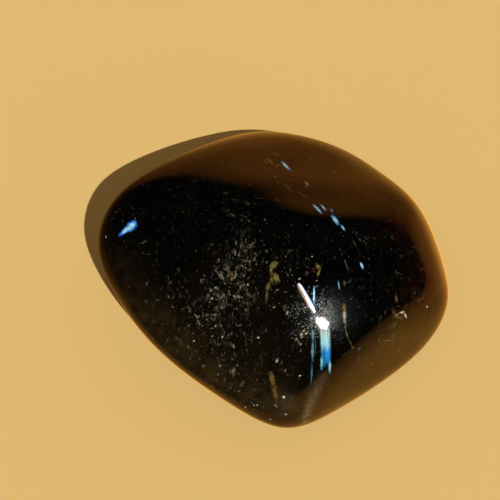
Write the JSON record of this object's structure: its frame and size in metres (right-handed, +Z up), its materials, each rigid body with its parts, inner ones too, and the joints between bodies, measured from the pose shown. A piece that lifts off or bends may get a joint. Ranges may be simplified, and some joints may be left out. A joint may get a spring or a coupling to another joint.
{
  "type": "astrophyllite specimen",
  "caption": "Tumbled, polished dark stone with blue and bronze mineral flashes, rounded facets and a flat rest facet, to be shown loose on a surface.",
  "frame": {"origin": "bottom centre of the stone's box, in the plane of its rest facet", "axes": "+Z up from the rest facet, +X along the longest extent, -Y towards the pointed nose"},
  "size_m": [0.0282, 0.0268, 0.0137],
  "materials": {
    "polished_stone": "polished, nearly black, with blue and bronze flashes"
  },
  "bodies": {
    "root": {"tumbled_stone": "polished_stone"}
  },
  "joints": []
}
